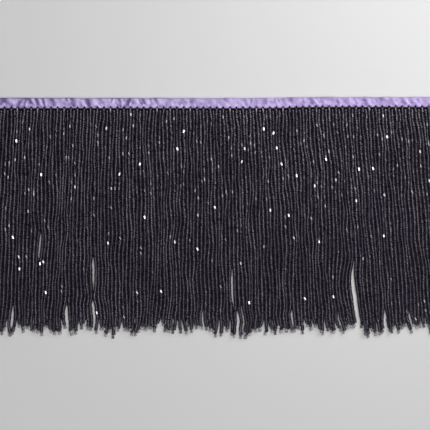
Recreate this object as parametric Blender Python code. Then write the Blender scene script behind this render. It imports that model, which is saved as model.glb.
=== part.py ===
"""Beaded fringe trim, a cut length lying face up on a flat surface.

A satin binding, folded in half along its top edge, carries a black chain of thread along its
scalloped lower edge, and two strands of beads leave the chain at every stitch. Metres, +X along
the binding, +Y from the strands towards the binding, +Z up, with the origin in the middle of the
binding's flat underside.
"""

import math
from collections import namedtuple

import bmesh
import bpy
import numpy as np
from mathutils import Vector, noise

MM = 0.001

# The binding and the stitches along its lower edge
STITCH_PITCH = 4.5 * MM
STITCH_COUNT = 68
TRIM_LENGTH = STITCH_COUNT * STITCH_PITCH
BINDING_HEIGHT = 6.8 * MM
LAYER_THICK = 1.0 * MM
LAYER_GAP = 0.3 * MM
FOLD_ROUNDING = 0.5 * MM
PUCKER_MEAN = 0.18 * MM
PUCKER_HEIGHT = 0.3 * MM
PUCKER_LENGTHS = (13.7 * MM, 8.3 * MM)
PUCKER_CHANGES_OVER = 61 * MM
PUCKER_SLANT = 0.9 * MM
NOTCH_DEPTH = 0.75 * MM
SEAM_GAP = 0.3 * MM

# The binding runs a little higher over its right third
EDGE_RISE = 0.8 * MM
RISE_FROM = 32 * MM
RISE_TO = 72 * MM

# The chain of thread, and the strands fused to it
CHAIN_WIDTH = 1.3 * MM
STRANDS_PER_STITCH = 2
STRAND_COUNT = STITCH_COUNT * STRANDS_PER_STITCH
STRAND_PITCH = STITCH_PITCH / STRANDS_PER_STITCH
STRAND_CLEARANCE = 0.35 * MM
STRAND_WIDEST = 2.2 * MM
STRAND_TOP_SHARE = 0.75
STRAND_HEIGHT = 2.2 * MM
STRAND_LENGTH = 149.9 * MM
GROUP_SPREAD = 4.2 * MM
GROUP_STRANDS = 3.3
SINGLE_SPREAD = 2.7 * MM
SINGLE_SEED = 12
SPREAD_LIMIT = 4.6 * MM

# How far down each row of a strand's corners lies: the last but one is above the shortest strand's
# end, and the last one below the longest strand's
ROW_DROPS = np.array([0, 14, 40, 68, 94, 112, 126, 135, 143, 156]) * MM

# The least and the most between the middles of neighbouring strands, and how far the ends splay
LEAST_APART = 1.7 * MM
MOST_APART = 2.72 * MM
TIPS_FROM = 139 * MM
TIPS_TO = 154 * MM
TIPS_GIVE = 1.7 * MM
FIT_PASSES = 200

# The strands spread towards the bottom, about a line left of the middle
FAN_CENTRE = -44 * MM
FAN_LEAN_PER_METRE = 0.485

# Waves that neighbouring strands share, in millimetres: how far they sway, how far apart the
# waves lie along the binding and down the strands, and the drops over which they set in
Sway = namedtuple("Sway", "size across down seed from_drop to_drop")
SWAYS = (
    Sway(1.5, 34, 90, 3.1, 0, 25),
    Sway(1.1, 11, 42, 7.7, 0, 25),
    Sway(1.4, 3.4, 28, 2.3, 0, 20),
    Sway(1.3, 7.5, 60, 5.2, 112, 150),
    Sway(2.8, 2.6, 90, 6.6, 134, 157),
)

# Where the strands part and the surface shows between them, in millimetres: the place along the
# binding, the drops where the parting opens and closes, its width, and how far it leans right
Parting = namedtuple("Parting", "across opens closes width lean")
PARTINGS = (
    Parting(-136.5, 132, 150, 1.4, -0.05),
    Parting(-118.7, 78, 106, 0.7, -0.03),
    Parting(-100.5, 129, 153, 1.8, -0.02),
    Parting(-81.5, 98, 123, 1.1, 0.02),
    Parting(-83.5, 126, 147, 1.3, 0.04),
    Parting(-8, 135, 150, 0.9, 0.15),
    Parting(11, 104, 138, 0.8, 0),
    Parting(15.7, 132, 164, 1.5, 0.02),
    Parting(18.5, 131, 148, 0.5, 0.1),
    Parting(34, 140, 166, 1.4, 0.05),
    Parting(53.3, 134, 150, 0.9, 0.08),
    Parting(84, 139, 153, 0.9, 0.2),
    Parting(96.8, 99, 174, 2.3, 0.09),
    Parting(117, 133, 164, 1.6, 0),
    Parting(133, 136, 151, 0.8, 0.1),
)
PARTING_REACH = 9
PARTING_STEEPNESS = 1.6


def smooth_step(value):
    """0 below 0, 1 above 1, and a smooth ramp between."""
    value = min(1.0, max(0.0, value))
    return value * value * (3 - 2 * value)


def edge_rise(x):
    """How much higher the binding lies at x than at its middle."""
    return EDGE_RISE * smooth_step((x - RISE_FROM) / (RISE_TO - RISE_FROM))


def root_x(strand):
    """Where a strand leaves the chain. Every even strand leaves at a stitch's notch."""
    return (strand + 0.5 - STRAND_COUNT / 2) * STRAND_PITCH


def root_y(x):
    """The chain's lower edge, where the strands start."""
    return edge_rise(x) - BINDING_HEIGHT / 2 - SEAM_GAP - CHAIN_WIDTH


def strand_lengths():
    """Uneven lengths, in small groups and strand by strand."""
    group = [noise.noise(Vector((strand / GROUP_STRANDS, 2.6, 0.4))) for strand in range(STRAND_COUNT)]
    single = np.random.default_rng(SINGLE_SEED).uniform(-1, 1, STRAND_COUNT)
    uneven = GROUP_SPREAD * np.array(group) + SINGLE_SPREAD * single
    return STRAND_LENGTH + np.clip(uneven, -SPREAD_LIMIT, SPREAD_LIMIT)


def drift(x, drop):
    """Sideways shift at a drop below the chain, from the fan and the shared waves."""
    shift = FAN_LEAN_PER_METRE * (x - FAN_CENTRE) * drop
    for sway in SWAYS:
        wave = noise.noise(Vector((x / MM / sway.across, drop / MM / sway.down, sway.seed)))
        begun = smooth_step((drop / MM - sway.from_drop) / (sway.to_drop - sway.from_drop))
        shift += sway.size * MM * wave * begun
    return shift


def fitted_row(drop):
    """The x of every strand at a drop, side by side, before the partings."""
    row = np.array([root_x(strand) + drift(root_x(strand), drop) for strand in range(STRAND_COUNT)])
    most = MOST_APART + TIPS_GIVE * smooth_step((drop - TIPS_FROM) / (TIPS_TO - TIPS_FROM))
    for _ in range(FIT_PASSES):
        for left in (0, 1):
            gap = row[left + 1::2] - row[left:-1:2]
            move = (np.clip(gap, LEAST_APART, most) - gap) / 2
            row[left:-1:2] -= move
            row[left + 1::2] += move
    return row


def strand_rows():
    """For each row drop, the x of every strand, with the partings opened."""
    rows = np.array([fitted_row(drop) for drop in ROW_DROPS])
    for parting in PARTINGS:
        middle = (parting.opens + parting.closes) / 2
        left_count = int((fitted_row(middle * MM) < parting.across * MM).sum())
        steps = np.arange(STRAND_COUNT) - left_count + 0.5
        reach = np.clip((PARTING_REACH - np.abs(steps)) / (PARTING_REACH - 0.5), 0, 1)
        for row, drop in zip(rows, ROW_DROPS):
            below_middle = (drop / MM - middle) / (parting.closes - middle)
            open_share = smooth_step(PARTING_STEEPNESS * (1 - abs(below_middle)))
            opening = MOST_APART + parting.width * MM - (row[left_count] - row[left_count - 1])
            lean = parting.lean * (parting.closes - middle) * below_middle * MM
            row += (np.copysign(opening / 2, steps) + lean) * open_share * reach
    return rows


def strand_widths(rows):
    """For each row, how wide every strand may be and still lie clear of its neighbours."""
    gaps = np.pad(np.diff(rows, axis=1), ((0, 0), (1, 1)), constant_values=1)
    return np.minimum(np.minimum(gaps[:, :-1], gaps[:, 1:]) - STRAND_CLEARANCE, STRAND_WIDEST)


def strand_path(strand, length, rows, widths):
    """(x, width, drop) down one strand, ending at its own length."""
    drops = np.append(ROW_DROPS[:-1], length)
    x = np.interp(drops, ROW_DROPS, rows[:, strand])
    width = np.interp(drops, ROW_DROPS, widths[:, strand])
    return zip(x.tolist(), width.tolist(), drops.tolist())


def add_object(name, mesh_builder, material):
    """Turns a finished bmesh into a named object with its material."""
    bmesh.ops.recalc_face_normals(mesh_builder, faces=mesh_builder.faces)
    mesh = bpy.data.meshes.new(name)
    mesh_builder.to_mesh(mesh)
    mesh_builder.free()
    mesh.materials.append(material)
    built = bpy.data.objects.new(name, mesh)
    bpy.context.scene.collection.objects.link(built)
    return built


def add_strand(builder, root_ring, base_y, path):
    """One strand: four flat sides from its root on the chain to its own end, flat on the surface."""
    ring = root_ring
    for x, width, drop in list(path)[1:]:
        low = width / 2
        high = low * STRAND_TOP_SHARE
        corners = ((x - low, 0), (x + low, 0), (x + high, STRAND_HEIGHT), (x - high, STRAND_HEIGHT))
        next_ring = [builder.verts.new((cx, base_y - drop, cz)) for cx, cz in corners]
        for corner in range(4):
            after = (corner + 1) % 4
            builder.faces.new((ring[corner], ring[after], next_ring[after], next_ring[corner]))
        ring = next_ring
    builder.faces.new(ring)


def chain_spans():
    """The spans along the chain: (right end, the notch that a stitch fills or None, strand or None)."""
    half = (STRAND_PITCH - STRAND_CLEARANCE) / 2
    for strand in range(STRAND_COUNT):
        x = root_x(strand)
        at_notch = strand % STRANDS_PER_STITCH == 0
        yield x - half, None, None
        yield x + half, x if at_notch else None, strand
    yield TRIM_LENGTH / 2, None, None


def add_fringe(material):
    """The chain of thread with a stitch in every notch, and all the strands fused to it."""
    builder = bmesh.new()
    rows = strand_rows()
    widths = strand_widths(rows)
    lengths = strand_lengths()
    heights = (0, STRAND_HEIGHT)

    def front_pair(x):
        return [builder.verts.new((x, root_y(x), z)) for z in heights]

    def back_pair(x, rise=0.0):
        return [builder.verts.new((x, root_y(x) + CHAIN_WIDTH + rise, z)) for z in heights]

    front, back = front_pair(-TRIM_LENGTH / 2), back_pair(-TRIM_LENGTH / 2)
    builder.faces.new((front[0], front[1], back[1], back[0]))
    for right, notch, strand in chain_spans():
        next_front = front_pair(right)
        backs = [back]
        if notch is not None:
            backs.append(back_pair(notch, NOTCH_DEPTH))
        backs.append(back_pair(right))
        for level in range(2):
            outline = [front[level], next_front[level]]
            outline += [pair[level] for pair in reversed(backs)]
            builder.faces.new(outline)
        for near, far in zip(backs, backs[1:]):
            builder.faces.new((near[0], far[0], far[1], near[1]))
        root_ring = (front[0], next_front[0], next_front[1], front[1])
        if strand is None:
            builder.faces.new(root_ring)
        else:
            path = strand_path(strand, lengths[strand], rows, widths)
            add_strand(builder, root_ring, root_y(root_x(strand)), path)
        front, back = next_front, backs[-1]
    builder.faces.new((front[0], front[1], back[1], back[0]))
    return add_object("beaded_fringe", builder, material)


def binding_stations():
    """(x, whether a stitch draws the edges in there) along the binding."""
    yield -TRIM_LENGTH / 2, False
    for stitch in range(STITCH_COUNT):
        notch = root_x(stitch * STRANDS_PER_STITCH)
        yield notch, True
        yield notch + STITCH_PITCH / 2, False
    yield TRIM_LENGTH / 2, False


def pucker(x):
    """-1 to 1, the crumples that the stitching draws into the satin."""
    long_wave, short_wave = (math.sin(math.tau * x / length) for length in PUCKER_LENGTHS)
    return (long_wave + short_wave * math.cos(math.tau * x / PUCKER_CHANGES_OVER)) / 2


def binding_section(x, notched):
    """Cross-section corners at x, as (y, z): two layers joined by the fold along the top edge."""
    lift = edge_rise(x)
    edge = lift - BINDING_HEIGHT / 2 + (NOTCH_DEPTH if notched else 0)
    fold = lift + BINDING_HEIGHT / 2
    inside = fold - LAYER_THICK
    under_top = LAYER_THICK + LAYER_GAP
    face = under_top + LAYER_THICK
    slant = PUCKER_SLANT * pucker(x - STITCH_PITCH)
    lower_swell = PUCKER_MEAN + PUCKER_HEIGHT * pucker(x)
    upper_swell = PUCKER_MEAN - PUCKER_HEIGHT * pucker(x + STITCH_PITCH)
    return (
        (edge, 0),
        (edge, LAYER_THICK),
        (inside, LAYER_THICK),
        (inside, under_top),
        (edge, under_top),
        (edge, face),
        (lift - BINDING_HEIGHT / 6 + slant, face + lower_swell),
        (lift + BINDING_HEIGHT / 5 + slant, face + upper_swell),
        (fold - FOLD_ROUNDING, face),
        (fold, face - FOLD_ROUNDING),
        (fold, FOLD_ROUNDING),
        (fold - FOLD_ROUNDING, 0),
    )


def add_binding(material):
    """The satin binding: its cross-sections joined along its length."""
    builder = bmesh.new()
    rings = []
    for x, notched in binding_stations():
        rings.append([builder.verts.new((x, y, z)) for y, z in binding_section(x, notched)])
    for near, far in zip(rings, rings[1:]):
        for corner in range(len(near)):
            after = (corner + 1) % len(near)
            builder.faces.new((near[corner], near[after], far[after], far[corner]))
    builder.faces.new(rings[0])
    builder.faces.new(rings[-1])
    return add_object("satin_binding", builder, material)


def plain_material(name, colour, roughness, metallic=0.0):
    """A Principled material in one colour."""
    material = bpy.data.materials.new(name)
    material.use_nodes = True
    shader = material.node_tree.nodes["Principled BSDF"]
    shader.inputs["Base Color"].default_value = (*colour, 1.0)
    shader.inputs["Roughness"].default_value = roughness
    shader.inputs["Metallic"].default_value = metallic
    return material


def main():
    for old in list(bpy.data.objects):
        bpy.data.objects.remove(old)
    add_binding(plain_material("lilac_satin", (0.47, 0.38, 0.66), 0.38))
    add_fringe(plain_material("black_beads", (0.022, 0.019, 0.026), 0.22))


main()
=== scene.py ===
import math

import bpy
import numpy as np
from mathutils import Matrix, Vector, noise


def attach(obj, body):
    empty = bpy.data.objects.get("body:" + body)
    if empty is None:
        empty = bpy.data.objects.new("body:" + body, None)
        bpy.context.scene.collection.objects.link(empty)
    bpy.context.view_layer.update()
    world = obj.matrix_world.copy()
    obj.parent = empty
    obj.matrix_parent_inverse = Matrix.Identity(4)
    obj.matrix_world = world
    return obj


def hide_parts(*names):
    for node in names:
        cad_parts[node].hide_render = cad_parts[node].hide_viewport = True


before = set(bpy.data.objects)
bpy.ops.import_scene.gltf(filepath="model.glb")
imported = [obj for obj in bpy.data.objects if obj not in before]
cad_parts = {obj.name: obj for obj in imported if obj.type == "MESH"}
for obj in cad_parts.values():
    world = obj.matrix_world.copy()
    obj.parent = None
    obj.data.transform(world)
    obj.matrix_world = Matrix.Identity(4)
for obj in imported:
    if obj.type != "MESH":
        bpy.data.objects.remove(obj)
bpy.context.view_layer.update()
mm = 0.001

# The trim's repeat, in metres. Along the binding is X, from the strands to the binding is Y.
trim = {
    "stitchPitch": 4.5 * mm,
    "stitches": 68,
    "bindingHeight": 6.8 * mm,
    "seamGap": 0.3 * mm,
    "chainWidth": 1.3 * mm,
    "notchDepth": 0.75 * mm,
    "riseHeight": 0.8 * mm,  # the binding lies a little higher over its right third
    "riseFrom": 32 * mm,
    "riseTo": 72 * mm,
}
trim["length"] = trim["stitchPitch"] * trim["stitches"]


def smoothStep(value):
    value = np.clip(value, 0.0, 1.0)
    return value * value * (3 - 2 * value)


def riseAt(x):
    return trim["riseHeight"] * smoothStep((x - trim["riseFrom"]) / (trim["riseTo"] - trim["riseFrom"]))


def chainFront(x):  # the chain's lower edge, where the strands start
    return riseAt(x) - trim["bindingHeight"] / 2 - trim["seamGap"] - trim["chainWidth"]


def unit(vectors):
    return vectors / np.maximum(np.linalg.norm(vectors, axis=-1, keepdims=True), 1e-12)


def noiseOf(points, seed):  # Blender's own noise at each (across, down) pair
    return np.array([noise.noise(Vector((across, down, seed))) for across, down in points])


# Meshes

def addMesh(name, points, quads=(), caps=(), smooth=True, values=None):
    # points (n, 3), quads (m, 4) and caps (k, sides) of indices, values {attribute: one number a point}
    quads = np.asarray(quads, np.int32).reshape(-1, 4)
    caps = np.asarray(caps, np.int32)
    capSides = caps.shape[1] if caps.size else 0
    mesh = bpy.data.meshes.new(name)
    mesh.vertices.add(len(points))
    mesh.vertices.foreach_set("co", np.asarray(points, np.float32).ravel())
    corners = np.concatenate([quads.ravel(), caps.ravel()]).astype(np.int32)
    sides = np.concatenate([np.full(len(quads), 4), np.full(len(caps), capSides)]).astype(np.int32)
    mesh.loops.add(len(corners))
    mesh.loops.foreach_set("vertex_index", corners)
    mesh.polygons.add(len(sides))
    starts = np.concatenate([[0], np.cumsum(sides)[:-1]])
    mesh.polygons.foreach_set("loop_start", starts.astype(np.int32))
    mesh.polygons.foreach_set("loop_total", sides)
    mesh.update(calc_edges=True)
    mesh.validate()
    mesh.polygons.foreach_set("use_smooth", np.full(len(sides), smooth))
    for attribute, numbers in (values or {}).items():
        layer = mesh.attributes.new(attribute, "FLOAT", "POINT")
        layer.data.foreach_set("value", np.asarray(numbers, np.float32))
    piece = bpy.data.objects.new(name, mesh)
    bpy.context.scene.collection.objects.link(piece)
    return piece


def ringQuads(rings, sides):  # faces between the rings of one closed tube
    ring, side = np.meshgrid(np.arange(rings - 1), np.arange(sides), indexing="ij")
    after = (side + 1) % sides
    quads = np.stack([ring * sides + side, ring * sides + after,
                      (ring + 1) * sides + after, (ring + 1) * sides + side], axis=-1)
    return quads.reshape(-1, 4)


def closedFaces(count, rings, sides):  # the sides and end caps of many such tubes
    start = np.arange(count) * rings * sides
    quads = (ringQuads(rings, sides)[None] + start[:, None, None]).reshape(-1, 4)
    first = np.arange(sides)[::-1]
    last = np.arange(sides) + (rings - 1) * sides
    caps = np.concatenate([first[None] + start[:, None], last[None] + start[:, None]])
    return quads, caps


def turnedBeads(centres, axes, ups, radii, lengths, profile, sides):
    # One turned bead for each centre. profile is (share of the radius, share of the length) a ring.
    axes = unit(axes)
    across = unit(np.cross(ups, axes))
    upward = np.cross(axes, across)
    angles = math.pi / 2 + (np.arange(sides) + 0.5) * math.tau / sides  # a flat side on top
    radii = radii / math.cos(math.pi / sides)  # the width is measured across the flats
    rings = len(profile)
    count = len(centres)
    points = np.empty((count, rings, sides, 3))
    spread = np.cos(angles)[:, None] * across[:, None] + np.sin(angles)[:, None] * upward[:, None]
    for index, (wide, along) in enumerate(profile):
        points[:, index] = (centres + axes * (lengths * along)[:, None])[:, None]
        points[:, index] += spread * (radii * wide)[:, None, None]
    return points.reshape(-1, 3), *closedFaces(count, rings, sides)


def crispRings(mesh, sides, rings):  # a crisp edge between each bead's straight side and its shoulders
    ends = np.empty(len(mesh.edges) * 2, np.int32)
    mesh.edges.foreach_get("vertices", ends)
    ring = ends.reshape(-1, 2) // sides % rings
    crisp = (ring[:, 0] == ring[:, 1]) & (ring[:, 0] > 0) & (ring[:, 0] < rings - 1)
    layer = mesh.attributes.new("sharp_edge", "BOOLEAN", "EDGE")
    layer.data.foreach_set("value", crisp)


def tubes(paths, radius, sides, flat=1.0):
    # Round threads along paths (count, steps, 3), closed at their ends. flat below 1 presses them in Z.
    paths = np.asarray(paths, float)
    count, steps, _ = paths.shape
    ahead = unit(np.gradient(paths, axis=1))
    up = np.zeros_like(paths)
    up[..., 2] = 1.0
    steep = np.abs(ahead[..., 2]) > 0.9
    up[steep] = (0.0, 1.0, 0.0)
    across = unit(np.cross(up, ahead))
    upward = np.cross(ahead, across)
    angles = np.arange(sides) * math.tau / sides
    points = paths[:, :, None] + radius * (
        np.cos(angles)[None, None, :, None] * across[:, :, None]
        + flat * np.sin(angles)[None, None, :, None] * upward[:, :, None])
    return points.reshape(-1, 3), *closedFaces(count, steps, sides)


def joined(parts):  # several (points, quads, caps) as one
    points, quads, caps, start = [], [], [], 0
    for p, q, c in parts:
        points.append(p)
        quads.append(q + start)
        caps.append(c + start)
        start += len(p)
    return np.concatenate(points), np.concatenate(quads), np.concatenate(caps)


# Shader nodes

class Socket:
    # A node's output, so that shader maths reads as an expression
    def __init__(self, shader, output):
        self.shader = shader
        self.output = output

    def maths(self, operation, first, second):
        return self.shader.node("ShaderNodeMath", {"operation": operation}, {0: first, 1: second})

    def __add__(self, other):
        return self.maths("ADD", self, other)

    def __sub__(self, other):
        return self.maths("SUBTRACT", self, other)

    def __rsub__(self, other):
        return self.maths("SUBTRACT", other, self)

    def __mul__(self, other):
        return self.maths("MULTIPLY", self, other)

    __radd__ = __add__
    __rmul__ = __mul__


class Shader:
    def __init__(self, name, constants):
        self.material = bpy.data.materials.new(name)
        self.material.use_nodes = True
        self.tree = self.material.node_tree
        self.surface = self.tree.nodes["Principled BSDF"]
        for socket, value in constants.items():
            self.surface.inputs[socket].default_value = value

    def node(self, kind, settings=None, sockets=None, output=0):
        made = self.tree.nodes.new(kind)
        for setting, value in (settings or {}).items():
            if setting == "stops":
                self.setStops(made.color_ramp, value)
            else:
                setattr(made, setting, value)
        for socket, value in (sockets or {}).items():
            self.feed(made.inputs[socket], value)
        return Socket(self, made.outputs[output])

    def setStops(self, ramp, stops):
        for index, (place, colour) in enumerate(stops):
            stop = ramp.elements[index] if index < 2 else ramp.elements.new(place)
            stop.position = place
            stop.color = colour

    def feed(self, socket, value):
        if isinstance(value, Socket):
            self.tree.links.new(value.output, socket)
        else:
            socket.default_value = value

    def place(self):
        return self.node("ShaderNodeTexCoord", output="Object")

    def attribute(self, name):
        return self.node("ShaderNodeAttribute", {"attribute_name": name}, output="Fac")

    def noise(self, scale, detail=2.0, place=None):
        sockets = {"Vector": place or self.place(), "Scale": scale, "Detail": detail}
        return self.node("ShaderNodeTexNoise", {}, sockets)

    def mixColours(self, share, first, second):
        settings = {"data_type": "RGBA", "clamp_factor": True}
        return self.node("ShaderNodeMix", settings, {0: share, 6: first, 7: second}, output=2)

    def bump(self, height, distance, strength=1.0):
        sockets = {"Height": height, "Distance": distance, "Strength": strength}
        return self.node("ShaderNodeBump", {}, sockets)

    def colour(self, value):
        self.feed(self.surface.inputs["Base Color"], value)

    def roughness(self, value):
        self.feed(self.surface.inputs["Roughness"], value)

    def normal(self, value):
        self.feed(self.surface.inputs["Normal"], value)


def beadGlass(name, finish, constants, ownGloss=False):
    # Each bead has its own tone from 0 to 1. With ownGloss it has its own strength of coat too.
    glass = Shader(name, constants)
    tone = glass.attribute("tone")
    cloud = glass.noise(900.0, 1.0)
    dark, light = finish["dark"], finish["light"]
    smooth, rough = finish["roughness"]
    glass.colour(glass.mixColours(tone * 0.85 + cloud * 0.3 - 0.08, (*dark, 1), (*light, 1)))
    glass.roughness(smooth + tone * (rough - smooth) + (cloud - 0.5) * 0.1)
    glass.normal(glass.bump(glass.noise(1400.0, 2.0), 0.03 * mm, 0.3))
    if ownGloss:
        glass.feed(glass.surface.inputs["Coat Weight"], glass.attribute("gloss"))
    return glass.material


def twistedThread(name, dark, light):
    thread = Shader(name, {"Roughness": 0.75, "Specular IOR Level": 0.12})
    ply = thread.node("ShaderNodeTexWave", {"wave_type": "BANDS", "bands_direction": "DIAGONAL"},
                      {"Vector": thread.place(), "Scale": 900.0, "Distortion": 1.5, "Detail": 1.0})
    thread.colour(thread.mixColours(ply, (*dark, 1), (*light, 1)))
    thread.normal(thread.bump(ply, 0.06 * mm, 0.7))
    return thread.material


# Where the strands lie: the solids' own rule, and one finer wave

strands = {
    "perStitch": 2,
    "length": 149.9 * mm,
    "groupSpread": 4.2 * mm,
    "groupStrands": 3.3,
    "singleSpread": 2.7 * mm,
    "spreadLimit": 4.6 * mm,
    "fanCentre": -44 * mm,
    "fanLean": 0.485,  # sideways lean at a metre from the centre
    "least": 1.7 * mm,  # between neighbours' middles
    "most": 2.72 * mm,
    "tipsFrom": 139 * mm,  # the strands' ends splay and let the floor through
    "tipsTo": 154 * mm,
    "tipsGive": 1.7 * mm,
    "fitPasses": 200,
    "rowStep": 3 * mm,
    "rowsTo": 159 * mm,
    "partingReach": 9,
    "partingSteepness": 1.6,
}
strands["count"] = trim["stitches"] * strands["perStitch"]
strands["pitch"] = trim["stitchPitch"] / strands["perStitch"]

# size, across, down, seed, fromDrop, toDrop, in millimetres
sways = (
    {"size": 1.5, "across": 34, "down": 90, "seed": 3.1, "fromDrop": 0, "toDrop": 25},
    {"size": 1.1, "across": 11, "down": 42, "seed": 7.7, "fromDrop": 0, "toDrop": 25},
    {"size": 1.4, "across": 3.4, "down": 28, "seed": 2.3, "fromDrop": 0, "toDrop": 20},
    {"size": 1.5, "across": 1.7, "down": 15, "seed": 9.4, "fromDrop": 0, "toDrop": 7},
    {"size": 1.3, "across": 7.5, "down": 60, "seed": 5.2, "fromDrop": 112, "toDrop": 150},
    {"size": 2.8, "across": 2.6, "down": 90, "seed": 6.6, "fromDrop": 134, "toDrop": 157},
)
# Where the strands part: place along the binding, drops where it opens and closes, width, lean
partings = tuple(dict(zip(("across", "opens", "closes", "width", "lean"), row)) for row in (
    (-136.5, 132, 150, 1.4, -0.05),
    (-118.7, 78, 106, 0.7, -0.03),
    (-100.5, 129, 153, 1.8, -0.02),
    (-81.5, 98, 123, 1.1, 0.02),
    (-83.5, 126, 147, 1.3, 0.04),
    (-8, 135, 150, 0.9, 0.15),
    (11, 104, 138, 0.8, 0),
    (15.7, 132, 164, 1.5, 0.02),
    (18.5, 131, 148, 0.5, 0.1),
    (34, 140, 166, 1.4, 0.05),
    (53.3, 134, 150, 0.9, 0.08),
    (84, 139, 153, 0.9, 0.2),
    (96.8, 99, 174, 2.3, 0.09),
    (117, 133, 164, 1.6, 0),
    (133, 136, 151, 0.8, 0.1),
))
strandIndex = np.arange(strands["count"])
rootX = (strandIndex + 0.5 - strands["count"] / 2) * strands["pitch"]
rootY = chainFront(rootX)


def strandLengths():
    group = noiseOf([(index / strands["groupStrands"], 2.6) for index in strandIndex], 0.4)
    single = np.random.default_rng(12).uniform(-1, 1, strands["count"])
    uneven = strands["groupSpread"] * group + strands["singleSpread"] * single
    return strands["length"] + np.clip(uneven, -strands["spreadLimit"], strands["spreadLimit"])


def driftedRow(drop):  # every strand's x at a drop, before the partings
    row = rootX + strands["fanLean"] * (rootX - strands["fanCentre"]) * drop
    for sway in sways:
        wave = noiseOf([(x / mm / sway["across"], drop / mm / sway["down"]) for x in rootX],
                       sway["seed"])
        begun = smoothStep((drop / mm - sway["fromDrop"]) / (sway["toDrop"] - sway["fromDrop"]))
        row = row + sway["size"] * mm * wave * begun
    return row


def fittedRow(drop):  # every strand's x at a drop, side by side, before the partings
    row = driftedRow(drop)
    tips = smoothStep((drop - strands["tipsFrom"]) / (strands["tipsTo"] - strands["tipsFrom"]))
    most = strands["most"] + strands["tipsGive"] * tips
    for _ in range(strands["fitPasses"]):
        for left in (0, 1):  # every other pair at a time is moved together or apart
            gap = row[left + 1::2] - row[left:-1:2]
            move = (np.clip(gap, strands["least"], most) - gap) / 2
            row[left:-1:2] -= move
            row[left + 1::2] += move
    return row


def layStrands():  # the x of every strand, a row every few millimetres down
    drops = np.arange(0.0, strands["rowsTo"], strands["rowStep"])
    rows = np.array([fittedRow(drop) for drop in drops])
    for parting in partings:
        middle = (parting["opens"] + parting["closes"]) / 2
        leftCount = int((fittedRow(middle * mm) < parting["across"] * mm).sum())
        belowMiddle = (drops / mm - middle) / (parting["closes"] - middle)
        openShare = smoothStep(strands["partingSteepness"] * (1 - np.abs(belowMiddle)))
        steps = strandIndex - leftCount + 0.5
        reach = (strands["partingReach"] - np.abs(steps)) / (strands["partingReach"] - 0.5)
        reach = np.clip(reach, 0, 1)
        apart = rows[:, leftCount] - rows[:, leftCount - 1]
        opening = strands["most"] + parting["width"] * mm - apart
        lean = parting["lean"] * (parting["closes"] - middle) * belowMiddle * mm
        rows += (np.copysign(0.5, steps) * opening[:, None] + lean[:, None]) * openShare[:, None] * reach
    return drops, rows


beads = {
    "width": 2.34 * mm,
    "widest": 2.6 * mm,  # larger beads fill the strand's place where there is room
    "narrowest": 0.97,  # share of the width
    "besides": 0.06 * mm,  # left free between two strands
    "partedAt": 1.12,  # neighbours this many of the widest beads apart have parted
    "length": 1.62 * mm,
    "lengthVaries": 0.07,
    "widthVaries": 0.04,
    "tilt": 0.08,
    "roll": 0.5,
    "jitter": 0.05 * mm,
    "notchStart": -1.1 * mm,  # a strand from a notch starts on the chain
    "notchLift": 0.8 * mm,
    "lift": 0.2 * mm,
    "liftFades": 7 * mm,
    "restHeight": 0.59,  # of the bead's width
    "looseEnd": 4 * mm,  # towards its end a strand's beads lie less orderly
    "looseness": 4,
    "hookLength": 7 * mm,
    "hook": 1.3 * mm,
    "sides": 8,
    "profile": ((0.84, -0.5), (1.0, -0.42), (1.0, 0.42), (0.84, 0.5)),
    "piecesOfStrands": 5,
    "gloss": 0.355,
    "glossVaries": 0.68,  # along a strand
    "glossRun": 22 * mm,
    "glossFades": 0.15,
    "eachGloss": 0.14,
    "firstGloss": 0.4,
    "firstReach": 4 * mm,
    "toneSpread": (1.6, 3.2),
    "lowTone": 0.16,  # a strand is a little greyer further down. Its last few beads are greyer still, painted light for the pale floor seen through their glass.
    "endTone": 0.75,
    "dark": (0.0068, 0.0058, 0.0086),
    "light": (0.033, 0.0292, 0.0392),
    "roughness": (0.1, 0.3),
}
dice = np.random.default_rng(41)


def toNeighbours(gaps, outermost):  # each strand's gap on its left and on its right
    return [np.pad(gaps, ((0, 0), side), constant_values=outermost) for side in ((1, 0), (0, 1))]


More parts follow.
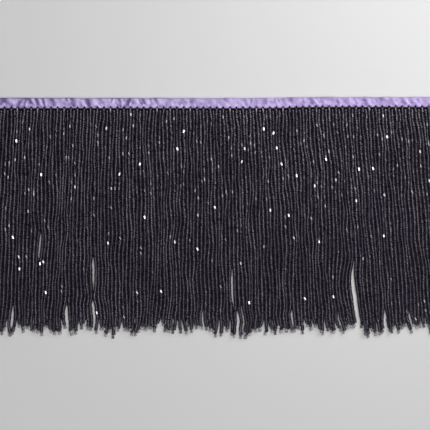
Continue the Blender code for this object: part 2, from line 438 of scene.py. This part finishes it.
def strandPlaces(drops, rows):
    # For each strand its beads' drops, centres, directions, lengths and widths
    lengths = strandLengths()
    width = beads["width"]
    gaps = np.diff(rows, axis=1)
    tight = np.minimum(*toNeighbours(gaps, 1))
    climb = np.sqrt(np.maximum(0.0, width ** 2 - tight ** 2))
    climb = np.array([climb[max(0, r - 2):r + 3].mean(axis=0) for r in range(len(climb))])
    lifts = np.where(strandIndex % 2 == 0, climb, 0.0)  # strands from the notches lie on top
    beside = np.where(gaps > beads["widest"] * beads["partedAt"], 0, gaps)
    wide = np.maximum(*toNeighbours(beside, 0)) - beads["besides"]
    wide = np.clip(wide, width * beads["narrowest"], beads["widest"])
    found = []
    for strand in strandIndex:
        fromNotch = strand % 2 == 0
        start = beads["notchStart"] if fromNotch else 0.0
        total = lengths[strand] - start
        count = int(total / beads["length"])
        steps = beads["length"] * (1 + beads["lengthVaries"] * dice.uniform(-1, 1, count))
        steps *= total / steps.sum()
        ends = start + np.cumsum(steps)
        middles = ends - steps / 2
        x = np.interp(middles, drops, rows[:, strand])
        lean = np.interp(middles, drops, np.gradient(rows[:, strand], drops))
        x = np.where(middles < 0, rootX[strand], x)
        widths = np.interp(middles, drops, wide[:, strand])
        rest = widths * beads["restHeight"] + np.interp(middles, drops, lifts[:, strand])
        overChain = beads["notchLift" if fromNotch else "lift"]
        z = rest + overChain * np.exp(-np.maximum(0, middles) / beads["liftFades"])
        centres = np.stack([x, rootY[strand] - middles, z], axis=1)
        loose = 1 + beads["looseness"] * np.exp((middles - total) / beads["looseEnd"])
        hooked = np.clip(1 - (total - middles) / beads["hookLength"], 0, 1) ** 2
        hook = beads["hook"] * dice.uniform(-1, 1) * hooked
        centres[:, 0] += hook + beads["jitter"] * loose * dice.normal(0, 1, count)
        centres[:, 2] += np.abs(beads["jitter"] * dice.normal(0, 1, count))
        axes = np.stack([lean, -np.ones(count), np.gradient(z, middles)], axis=1)
        axes += beads["tilt"] * loose[:, None] * dice.normal(0, 1, (count, 3))
        found.append({"drops": middles, "centres": centres, "axes": axes, "lengths": steps,
                      "widths": widths})
    return found


cutBeads = {
    "bright": 18,  # scattered besides the ones placed below
    "soft": 290,
    "topShare": 0.75,  # how many of them lie in the upper part
    "topDrops": (3, 60),  # in millimetres
    "lowDrops": (60, 146),
    "length": 2.4 * mm,
    "width": 1.05 * mm,
    "brightWidth": 0.5 * mm,  # more for a bright one
    "fullyBright": 0.6,
    "proud": 0.1 * mm,
    "firstShare": 0.42,
    "firstLength": 2.8 * mm,
    "lean": 0.35,  # at the strands' ends
    "leanVaries": 0.12,
    "roll": 0.1,
    "placedShine": (0.3, 0.9),
    "brightShine": (0.2, 0.5),
    "softShine": (0.01, 0.2),
    "firstShine": (0.01, 0.17),
    "sides": 6,
    "profile": ((0.72, -0.5), (1.0, -0.38), (1.0, 0.38), (0.72, 0.5)),
}
# The most striking glints: millimetres from the middle of the binding, and down from the chain
glints = tuple(dict(zip(("across", "down"), row)) for row in (
    (-125, 13), (-134, 21), (-125, 22), (-22, 15), (33, 13), (40, 16), (114, 4), (117, 18),
    (-26, 26), (20, 26), (41, 26), (76, 28), (-52, 36), (19, 35), (46, 36), (76, 34),
    (99, 40), (107, 41), (-117, 43), (-104, 46), (-65, 43), (55, 45), (-96, 52), (67, 52),
    (116, 58), (-1, 66), (37, 68), (49, 72), (-48, 73), (-113, 80), (-137, 87), (115, 86),
    (-27, 90), (71, 90), (-11, 95), (-133, 99), (-119, 104), (-132, 107), (-53, 123), (-114, 123),
    (-36, 123), (60, 128), (81, 128), (24, 131), (-81, 137),
))


def pickCutBeads(places):
    # Which beads are cut ones with a silvered face, as {(strand, bead): how bright}
    chosen = {}
    for glint in glints:
        best = None
        for number, place in enumerate(places):
            bead = int(np.argmin(np.abs(place["drops"] - glint["down"] * mm)))
            off = abs(place["centres"][bead, 0] - glint["across"] * mm)
            if best is None or off < best[0]:
                best = (off, number, bead)
        chosen[best[1:]] = dice.uniform(*cutBeads["placedShine"])
    for kind in ("bright", "soft"):
        for _ in range(cutBeads[kind]):
            strand = int(dice.integers(0, len(places)))
            part = "topDrops" if dice.random() < cutBeads["topShare"] else "lowDrops"
            drop = dice.uniform(*cutBeads[part]) * mm
            bead = int(np.argmin(np.abs(places[strand]["drops"] - drop)))
            chosen.setdefault((strand, bead), dice.uniform(*cutBeads[kind + "Shine"]))
    for strand in range(0, len(places), 2):  # first beads at the notches, some of them cut
        if dice.random() < cutBeads["firstShare"]:
            chosen.setdefault((strand, 0), dice.uniform(*cutBeads["firstShine"]))
    return chosen


def addBeads(places):
    # The plain beads of each group of strands as one mesh, without the last of a strand
    material = beadGlass("black_glass", beads, {
        "IOR": 1.4, "Coat IOR": 1.62, "Coat Roughness": 0.21,
        "Specular Tint": (0.86, 0.72, 1.0, 1), "Coat Tint": (0.94, 0.88, 1.0, 1)}, ownGloss=True)
    pieces = []
    groups = np.array_split(np.arange(len(places)), beads["piecesOfStrands"])
    for group, members in enumerate(groups):
        gloss, greyer = [], []
        for strand in members:
            down = places[strand]["drops"][:-1]
            run = noiseOf([(strand * 1.7, drop / beads["glossRun"]) for drop in down], 8.8)
            first = beads["firstGloss"] * np.exp(-down / beads["firstReach"])
            fades = beads["glossFades"] * down / strands["length"]
            gloss.append(beads["gloss"] + beads["glossVaries"] * run + first - fades)
            # painted light: the last beads paler, for the floor seen through them
            ending = beads["endTone"] * np.exp((down - down[-1]) / beads["looseEnd"])
            greyer.append(ending + beads["lowTone"] * down / strands["length"])
        centres, axes, lengths, widths = (
            np.concatenate([places[strand][what][:-1] for strand in members])
            for what in ("centres", "axes", "lengths", "widths"))
        count = len(centres)
        gloss = np.clip(np.concatenate(gloss) + beads["eachGloss"] * dice.normal(0, 1, count), 0, 1)
        radii = widths / 2 * (1 + beads["widthVaries"] * dice.uniform(-1, 1, count))
        ups = np.tile((0.0, 0.0, 1.0), (count, 1))
        ups += dice.normal(0, beads["roll"], (count, 3)) * (1, 0, 0)
        made = turnedBeads(centres, axes, ups, radii, lengths, beads["profile"], beads["sides"])
        each = len(beads["profile"]) * beads["sides"]
        tone = dice.beta(*beads["toneSpread"], count) + np.concatenate(greyer)
        values = {"tone": np.repeat(tone, each), "gloss": np.repeat(gloss, each)}
        piece = addMesh(f"bead_strands_{group + 1}", *made, values=values)
        crispRings(piece.data, beads["sides"], len(beads["profile"]))
        piece.data.materials.append(material)
        pieces.append(piece)
    print("beads:", sum(len(p.data.polygons) for p in pieces), "faces")
    return pieces


def addCutBeads(places, chosen):
    # The cut, silvered face of some beads, turned up to the light
    silver = Shader("silvered_cut_glass", {"Metallic": 1.0, "Roughness": 0.16})
    shine = silver.attribute("shine")
    speck = silver.noise(700.0, 2.0)
    silver.colour(silver.mixColours(shine + speck * 0.06, (0.02, 0.018, 0.024, 1), (0.97, 0.97, 1.0, 1)))
    silver.roughness(0.3 - shine * 0.18 + speck * 0.08)
    silver.normal(silver.bump(speck, 0.02 * mm, 0.4))
    keys = sorted(chosen)
    bright = np.array([chosen[key] for key in keys])
    centres, axes, widths = (
        np.array([places[strand][what][bead] for strand, bead in keys])
        for what in ("centres", "axes", "widths"))
    axes[:, 0] += dice.normal(0, cutBeads["leanVaries"], len(keys))
    axes[:, 0] += cutBeads["lean"] * -centres[:, 1] / strands["length"]
    lengths = np.array([cutBeads["length" if bead else "firstLength"] for _, bead in keys])
    wider = cutBeads["brightWidth"] * smoothStep(bright / cutBeads["fullyBright"])
    radii = (cutBeads["width"] + wider) / 2
    centres[:, 2] += widths / 2 - radii + cutBeads["proud"]
    roll = dice.normal(0, cutBeads["roll"], len(keys))
    ups = np.stack([np.sin(roll), np.zeros(len(keys)), np.cos(roll)], axis=1)
    made = turnedBeads(centres, axes, ups, radii, lengths, cutBeads["profile"], cutBeads["sides"])
    each = len(cutBeads["profile"]) * cutBeads["sides"]
    piece = addMesh("cut_beads", *made, smooth=False, values={"shine": np.repeat(bright, each)})
    piece.data.materials.append(silver.material)
    print("cut beads:", len(keys))
    return piece


turnBeads = {
    "width": 1.9 * mm,
    "length": 1.8 * mm,
    "sizeVaries": 0.05,
    "askew": 0.35,
    "hang": 0.7 * mm,
    "least": 0.625,  # of the width, the height of a centre
    "lightShare": 0.7,
    "lightTone": (0.35, 0.85),
    "darkTone": (0, 0.25),
    "sides": 12,
    "profile": ((0.42, -0.46), (0.66, -0.5), (0.88, -0.38), (1.0, -0.13),
                (1.0, 0.13), (0.88, 0.38), (0.66, 0.5), (0.42, 0.46)),
    "dark": (0.03, 0.029, 0.033),
    "light": (0.5, 0.49, 0.51),
    "roughness": (0.08, 0.2),
}


def addTurnBeads(places):
    # The last bead of each strand, which the thread turns round, so it lies across
    material = beadGlass("smoke_glass", turnBeads, {"IOR": 1.56, "Coat Weight": 0.6})
    count = len(places)
    centres = np.array([place["centres"][-1] for place in places])
    axes = np.tile((1.0, 0.0, 0.0), (count, 1))
    axes += dice.normal(0, turnBeads["askew"], (count, 3)) * (0, 1, 0.5)
    ups = np.tile((0.0, 0.0, 1.0), (count, 1))
    size = 1 + turnBeads["sizeVaries"] * dice.normal(0, 1, count)
    centres[:, 1] -= turnBeads["hang"]
    centres[:, 2] = np.maximum(centres[:, 2], turnBeads["width"] * turnBeads["least"])
    radii = turnBeads["width"] / 2 * size
    made = turnedBeads(centres, axes, ups, radii, turnBeads["length"] * size,
                       turnBeads["profile"], turnBeads["sides"])
    isLight = dice.random(count) < turnBeads["lightShare"]
    light = dice.uniform(*turnBeads["lightTone"], count)
    dark = dice.uniform(*turnBeads["darkTone"], count)
    tone = np.repeat(np.where(isLight, light, dark), len(turnBeads["profile"]) * turnBeads["sides"])
    piece = addMesh("turn_beads", *made, values={"tone": tone})
    piece.data.materials.append(material)
    return piece


strandThread = {
    "radius": 0.2 * mm,
    "sides": 4,
    "steps": 40,
    "above": 0.9 * mm,  # how far it shows above the first bead
}


def addStrandThreads(places, material):
    # The thread inside each strand, which shows between beads and where it leaves the chain
    steps = strandThread["steps"]
    paths = np.empty((len(places), steps, 3))
    for strand, place in enumerate(places):
        samples = np.linspace(place["drops"][0] - strandThread["above"], place["drops"][-1], steps)
        for axis in range(3):
            paths[strand, :, axis] = np.interp(samples, place["drops"], place["centres"][:, axis])
        paths[strand, :, 1] = rootY[strand] - samples
    made = tubes(paths, strandThread["radius"], strandThread["sides"])
    piece = addMesh("strand_threads", *made)
    piece.data.materials.append(material)
    return piece


chain = {
    "thread": 0.25 * mm,  # radius
    "biteThread": 0.275 * mm,
    "sides": 8,
    "coreWidth": 1.45 * mm,
    "coreHeight": 1.4 * mm,
    "coreSwell": 0.08 * mm,
    "loopWidth": 1.15 * mm,
    "loopOverlap": 0.7 * mm,
    "loopLift": 0.1 * mm,
    "loopSlope": 0.14 * mm,
    "biteWidth": 0.6 * mm,
    "biteNarrows": 0.75,  # its width at the top
    "biteHeight": 0.1925 * mm,
    "biteBelow": 0.25 * mm,  # below the satin's edge
    "biteTop": 2.0 * mm,
    "biteArch": 0.25 * mm,
    "footBelow": 0.3 * mm,
    "footTop": 1.75 * mm,
}


def addChain(material):
    # A padded core of thread, a chain of loops on it, and a bite over the satin's edge at each notch
    pitch = trim["stitchPitch"]
    middle = chainFront(0) + trim["chainWidth"] / 2
    coreX = np.linspace(-trim["length"] / 2, trim["length"] / 2, trim["stitches"] * 4 + 1)
    swell = chain["coreSwell"] * (1 + np.sin(coreX / pitch * math.tau))
    core = np.stack([coreX, middle + riseAt(coreX), chain["coreHeight"] / 2 + swell], axis=1)
    flat = chain["coreHeight"] / chain["coreWidth"]
    turn = np.linspace(0, math.tau, 19)
    arc = np.linspace(0, math.pi, 9)
    side = chain["biteWidth"] / 2
    loops, bites = [], []
    for x in rootX[::2]:  # the notches
        y = middle + riseAt(x)
        long = (pitch + chain["loopOverlap"]) / 2
        ovalX = x + pitch / 2 + long * np.cos(turn) * 0.98
        narrow = chain["loopWidth"] / 2 * (0.75 - 0.25 * np.cos(turn))
        ovalY = y + narrow * np.sin(turn)
        ovalZ = chain["coreHeight"] + chain["loopLift"] + chain["loopSlope"] * np.cos(turn)
        loops.append(np.stack([ovalX, ovalY, ovalZ], axis=1))
        edge = riseAt(x) - trim["bindingHeight"] / 2 + trim["notchDepth"] - chain["biteBelow"]
        over = np.stack([x + side * chain["biteNarrows"] * np.cos(arc),
                         edge + chain["biteHeight"] * np.sin(arc),
                         chain["biteTop"] + chain["biteArch"] * np.sin(arc)], axis=1)
        feet = [(x + one * side, y - chain["footBelow"], chain["footTop"]) for one in (1, -1)]
        bites.append(np.concatenate([feet[:1], over, feet[1:]]))
    sides = chain["sides"]
    parts = [tubes(core[None], chain["coreWidth"] / 2, sides, flat),
             tubes(loops, chain["thread"], sides), tubes(bites, chain["biteThread"], sides)]
    piece = addMesh("chain_stitch", *joined(parts))
    piece.data.materials.append(material)
    return piece


binding = {
    "cloth": 0.28 * mm,
    "faceHeight": 2.15 * mm,
    "edgeHeight": 1.8 * mm,
    "foldRadius": 0.95 * mm,
    "ribbonWidth": 15 * mm,
    "offFloor": 0.02 * mm,
    "overSeam": 0.15 * mm,  # how far the edge reaches over the seam's gap
    "scallopPower": 2.6,
    "pinch": 0.35 * mm,  # how much lower the edge is at a notch
    "gather": 0.25 * mm,
    "wander": 0.35 * mm,  # of the fold, up and down
    "wanderOver": 9 * mm,
    "puff": 0.22 * mm,
    "puffOver": 3.1 * mm,
    "streakOver": 1.5 * mm,
    "paintedShadeEasesFrom": -60 * mm,  # the satin's painted shade and highlight weaken towards the right
    "paintedShadeEasesOver": 70 * mm,
    "columnsPerStitch": 12,
    "faceRows": 14,
    "foldRows": 7,
    "backRows": 6,
}
creases = {
    "count": 68,
    "slant": (0.1, 0.6),
    "width": (0.6, 2.2),  # in millimetres
    "depth": (0.15, 0.75),
    "from": (-0.2, 0.6),  # shares of the binding's height
    "to": (0.8, 1.4),
}


def makeCreases():
    # Seeded creases along the satin: place, slant, width, depth and the part of the height they cross
    crease = np.random.default_rng(7)
    made = []
    spacing = trim["length"] / creases["count"]
    for index in range(creases["count"]):
        made.append({
            "x": -trim["length"] / 2 + (index + crease.uniform(0.1, 0.9)) * spacing,
            "slant": crease.choice((-1, -1, -1, 1)) * crease.uniform(*creases["slant"]),
            "width": crease.uniform(*creases["width"]) * mm,
            "depth": crease.uniform(*creases["depth"]) * mm,
            "from": crease.uniform(*creases["from"]),
            "to": crease.uniform(*creases["to"]),
        })
    return made


def creased(x, y, share, allCreases):
    # How far the creases raise a row of the satin, and how much painted highlight (on their ridges) and
    # painted shade (in their troughs) they lay on its colour
    raised = np.zeros(len(x))
    paintedCreaseLight = np.zeros(len(x))
    for one in allCreases:
        along = smoothStep((share - one["from"]) / 0.4) * (1 - smoothStep((share - one["to"]) / 0.2))
        off = (x - one["x"] - one["slant"] * (y + riseAt(x))) / one["width"]
        trough = np.exp(-off ** 2) * along
        ridge = np.exp(-(off - 1.7) ** 2) * along
        raised += one["depth"] * (0.7 * ridge - trough)
        # painted light: the ridge lighter and the trough darker, by the crease's depth
        paintedCreaseLight += one["depth"] / mm * (0.75 * ridge - 1.2 * trough)
    return raised, paintedCreaseLight


def addBinding():
    columns = trim["stitches"] * binding["columnsPerStitch"] + 1
    x = np.linspace(-trim["length"] / 2, trim["length"] / 2, columns)
    phase = (x - rootX[0]) / trim["stitchPitch"]
    toNotch = np.abs(phase - np.round(phase)) * 2  # 0 at a notch, 1 half way to the next
    scallop = trim["notchDepth"] * (1 - toNotch) ** binding["scallopPower"]
    low = -trim["bindingHeight"] / 2 - binding["overSeam"] + scallop
    high = trim["bindingHeight"] / 2 - binding["cloth"] / 2
    wander = noiseOf([(place / binding["wanderOver"], 0.3) for place in x], 1.7)
    foldY = high - binding["foldRadius"] + binding["wander"] * wander
    # 0 at the left, 1 at the right: how far the painted shade and highlight have weakened
    paintedShadeEases = smoothStep((x - binding["paintedShadeEasesFrom"]) / binding["paintedShadeEasesOver"])
    edge = binding["edgeHeight"] - binding["pinch"] * (1 - toNotch) ** 1.5
    allCreases = makeCreases()
    # shine holds the satin's painted light and shade, one number a point, which its colour ramp reads
    laid, shine = [], []

    def addRow(y, z, light):
        laid.append(np.stack([x, y + riseAt(x), z], axis=1))
        shine.append(light)

    for share in np.linspace(0, 1, binding["faceRows"]):
        y = low + (foldY - low) * share
        raised, paintedCreaseLight = creased(x, y, share, allCreases)
        soft = noiseOf([(place / binding["puffOver"] + share * 1.1, share * 1.6) for place in x], 4.4)
        fine = noiseOf([(place / binding["streakOver"] + share * 1.6, share * 2.4) for place in x], 6.1)
        fine *= 1 - 0.7 * share
        gather = np.exp(-(toNotch / 0.25) ** 2) * np.exp(-share / 0.13)
        crown = smoothStep(share / 0.2)
        free = crown * (1 - 0.6 * smoothStep((share - 0.8) / 0.2))  # held at the seam and the fold
        z = edge + (binding["faceHeight"] - edge) * crown + (raised + binding["puff"] * soft) * free
        # painted light: shade in the crease troughs and where the cloth gathers at each notch, highlight
        # and shade over the puffs, and fine painted streaks of light and shade
        light = 0.59 + paintedCreaseLight * (1 - 0.58 * paintedShadeEases) - 0.02 * paintedShadeEases - 0.35 * gather
        light += (0.3 * soft + 0.6 * fine) * (1 - 0.25 * paintedShadeEases)
        addRow(y, z - binding["gather"] * gather, np.clip(light, 0, 1))
    top = laid[-1][:, 2]
    bottom = np.full(columns, binding["cloth"] / 2 + binding["offFloor"])
    for turn in np.linspace(0, math.pi, binding["foldRows"] + 2)[1:-1]:
        z = (top + bottom) / 2 + (top - bottom) / 2 * np.cos(turn)
        # painted shade along the fold at the binding's top edge, less of it towards the right
        light = shine[-1] * 0.8 + 0.2 * (0.1 + 0.5 * paintedShadeEases)
        addRow(foldY + binding["foldRadius"] * np.sin(turn), z, light)
    for share in np.linspace(0, 1, binding["backRows"]):
        addRow(foldY + (low - foldY) * share, bottom, np.full(columns, 0.5))
    sheet = np.array(laid)
    rows = len(sheet)
    normals = unit(np.cross(np.gradient(sheet, axis=1), np.gradient(sheet, axis=0)))
    both = np.stack([sheet + normals * binding["cloth"] / 2, sheet - normals * binding["cloth"] / 2])
    index = np.arange(2 * rows * columns).reshape(2, rows, columns)
    quads = []
    for layer, order in ((0, 1), (1, -1)):
        grid = index[layer]
        quad = np.stack([grid[:-1, :-1], grid[:-1, 1:], grid[1:, 1:], grid[1:, :-1]], axis=-1)
        quads.append(quad.reshape(-1, 4)[:, ::order])
    around = np.concatenate([index[:, 0, :].T, index[:, 1:, -1].swapaxes(0, 1),
                             index[:, -1, -2::-1].T, index[:, -2:0:-1, 0].swapaxes(0, 1)])
    following = np.roll(around, -1, axis=0)
    quads.append(np.stack([around[:, 0], around[:, 1], following[:, 1], following[:, 0]], axis=-1))
    shine = np.tile(np.array(shine).ravel(), 2)
    points = both.reshape(-1, 3)
    piece = addMesh("satin_folded", points, np.concatenate(quads), values={"shine": shine})
    piece.data.materials.append(satin())
    return piece


def satin():
    cloth = Shader("lilac_satin", {"Roughness": 0.4, "Sheen Weight": 0.35, "Sheen Roughness": 0.35,
                                   "Sheen Tint": (0.85, 0.78, 1.0, 1), "Anisotropic": 0.45,
                                   "Specular IOR Level": 0.6})
    place = cloth.place()
    shine = cloth.attribute("shine")
    drawn = cloth.node("ShaderNodeMapping", {}, {"Vector": place, "Scale": (1, 5, 1)})
    slub = cloth.noise(160.0, 3.0, drawn)
    cloud = cloth.noise(90.0, 2.0, place)
    # The shine attribute is painted light and shade. With the slub and cloud noise, the ramp turns it
    # into the satin's colour.
    stops = ((0.05, (0.13, 0.085, 0.26, 1)), (0.5, (0.385, 0.29, 0.595, 1)),
             (0.95, (0.665, 0.54, 0.895, 1)))
    paintedShadeAndSlub = shine + (cloud - 0.5) * 0.35 + (slub - 0.5) * 0.4
    cloth.colour(cloth.node("ShaderNodeValToRGB", {"stops": stops}, {0: paintedShadeAndSlub}))
    cloth.roughness(0.5 + slub * 0.14 - shine * 0.15)
    warp = cloth.node("ShaderNodeTexWave", {"wave_type": "BANDS", "bands_direction": "X"},
                      {"Vector": place, "Scale": 1300.0, "Distortion": 0.6, "Detail": 1.0,
                       "Detail Scale": 2.0})
    weft = cloth.node("ShaderNodeTexWave", {"wave_type": "BANDS", "bands_direction": "DIAGONAL"},
                      {"Vector": place, "Scale": 620.0, "Distortion": 0.4, "Detail": 1.0})
    cloth.normal(cloth.bump(warp * 0.7 + weft * 0.5 + slub * 0.6, 0.03 * mm, 0.55))
    return cloth.material


# The floor, the lights and the camera straight above

studio = {
    "pixel": 0.68 * mm,
    "frame": 430,
    "bindingRow": 103.1,  # the row of the photograph at Y = 0
    "cameraHeight": 1.6,
    "sensor": 36.0,
    "sky": 0.03,
    "floorHalf": 2.0,
    "floorZ": -0.02 * mm,
}
lamps = (
    {"name": "overhead", "place": (0.15, -0.6, 2.4), "target": (0.15, -0.6, 0),
     "size": (1.9, 3.2), "watts": 51.4, "beam": 180},
    {"name": "right", "place": (0.40, 0.28, 0.44), "target": (0.2, 0.12, 0),
     "size": (0.42, 0.42), "watts": 0.625, "beam": 80},
)


def addStage():
    half, z = studio["floorHalf"], studio["floorZ"]
    corners = [(-half, -half, z), (half, -half, z), (half, half, z), (-half, half, z)]
    floor = addMesh("floor", corners, [(0, 1, 2, 3)], smooth=False)
    paper = Shader("pale_paper", {"Roughness": 0.8, "Specular IOR Level": 0.2})
    paper.colour(paper.mixColours(paper.noise(6.0, 2.0), (0.70, 0.70, 0.70, 1), (0.73, 0.73, 0.73, 1)))
    floor.data.materials.append(paper.material)


def addLight(name, place, target, size, watts, beam):
    lamp = bpy.data.lights.new(name, "AREA")
    lamp.shape = "RECTANGLE"
    lamp.size, lamp.size_y = size
    lamp.energy = watts
    lamp.spread = math.radians(beam)
    holder = bpy.data.objects.new(name, lamp)
    bpy.context.scene.collection.objects.link(holder)
    holder.location = place
    holder.rotation_euler = (Vector(target) - Vector(place)).to_track_quat("-Z", "Y").to_euler()
    holder.visible_camera = False


def addStudio():
    addStage()
    world = bpy.data.worlds.new("studio")
    bpy.context.scene.world = world
    world.use_nodes = True
    sky = world.node_tree.nodes["Background"]
    sky.inputs["Color"].default_value = (1, 1, 1, 1)
    sky.inputs["Strength"].default_value = studio["sky"]
    for lamp in lamps:
        addLight(**lamp)
    camera = bpy.data.cameras.new("camera")
    camera.sensor_width = studio["sensor"]
    middleY = (studio["bindingRow"] - studio["frame"] / 2) * studio["pixel"]
    camera.lens = studio["sensor"] * studio["cameraHeight"] / (studio["frame"] * studio["pixel"])
    holder = bpy.data.objects.new("camera", camera)
    bpy.context.scene.collection.objects.link(holder)
    holder.location = (0, middleY, studio["cameraHeight"])
    bpy.context.scene.camera = holder
    bpy.context.scene.view_settings.view_transform = "Standard"
    print("stage and camera set")


drops, rows = layStrands()
print("strands laid:", rows.shape)
places = strandPlaces(drops, rows)
chosen = pickCutBeads(places)
blackThread = twistedThread("black_thread", (0.002, 0.0018, 0.0026), (0.009, 0.008, 0.011))
beadPieces = addBeads(places)
sparkles = addCutBeads(places, chosen)
ends = addTurnBeads(places)
threads = addStrandThreads(places, blackThread)
stitching = addChain(blackThread)
cloth = addBinding()
print("binding and chain made")
addStudio()

fringe = [*beadPieces, sparkles, ends, threads]
for piece in (*fringe, stitching, cloth):
    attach(piece, "root")
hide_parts("satin_binding")
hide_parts("beaded_fringe")

triangles = {piece.name: sum(len(face.vertices) - 2 for face in piece.data.polygons)
             for piece in (*fringe, stitching, cloth)}
print("triangles:", triangles, "in all", sum(triangles.values()))
